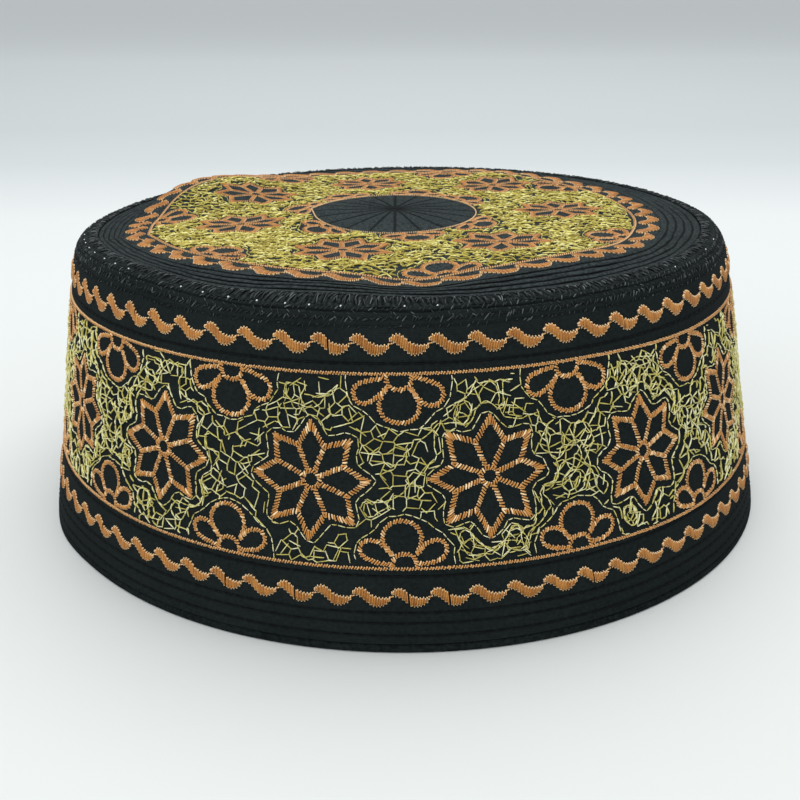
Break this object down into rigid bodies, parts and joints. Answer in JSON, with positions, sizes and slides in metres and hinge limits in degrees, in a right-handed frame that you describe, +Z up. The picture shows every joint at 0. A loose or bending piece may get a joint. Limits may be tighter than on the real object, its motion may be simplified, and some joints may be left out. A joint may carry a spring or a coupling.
{
  "type": "embroidered kufi",
  "caption": "Stiff brimless cap with a flat round crown and a tapering side band, quilted and embroidered all over, open below for the head.",
  "frame": {"origin": "middle of the hem, on the surface that the cap stands on", "axes": "+Z up through the crown, -Y towards the front, +X to the right of someone who looks at the front"},
  "size_m": [0.1855, 0.1938, 0.0725],
  "materials": {
    "band_cloth": "black quilted cloth covered with green-gold and orange thread",
    "edging_thread": "black rolled edge of matte cloth",
    "crown_cloth": "black quilted cloth covered with green-gold and orange thread",
    "seam_thread": "black overcast stitches with a soft sheen"
  },
  "bodies": {
    "root": {"side_band": "band_cloth", "hem_edging": "edging_thread", "crown": "crown_cloth", "crown_seam": "seam_thread"}
  },
  "joints": []
}
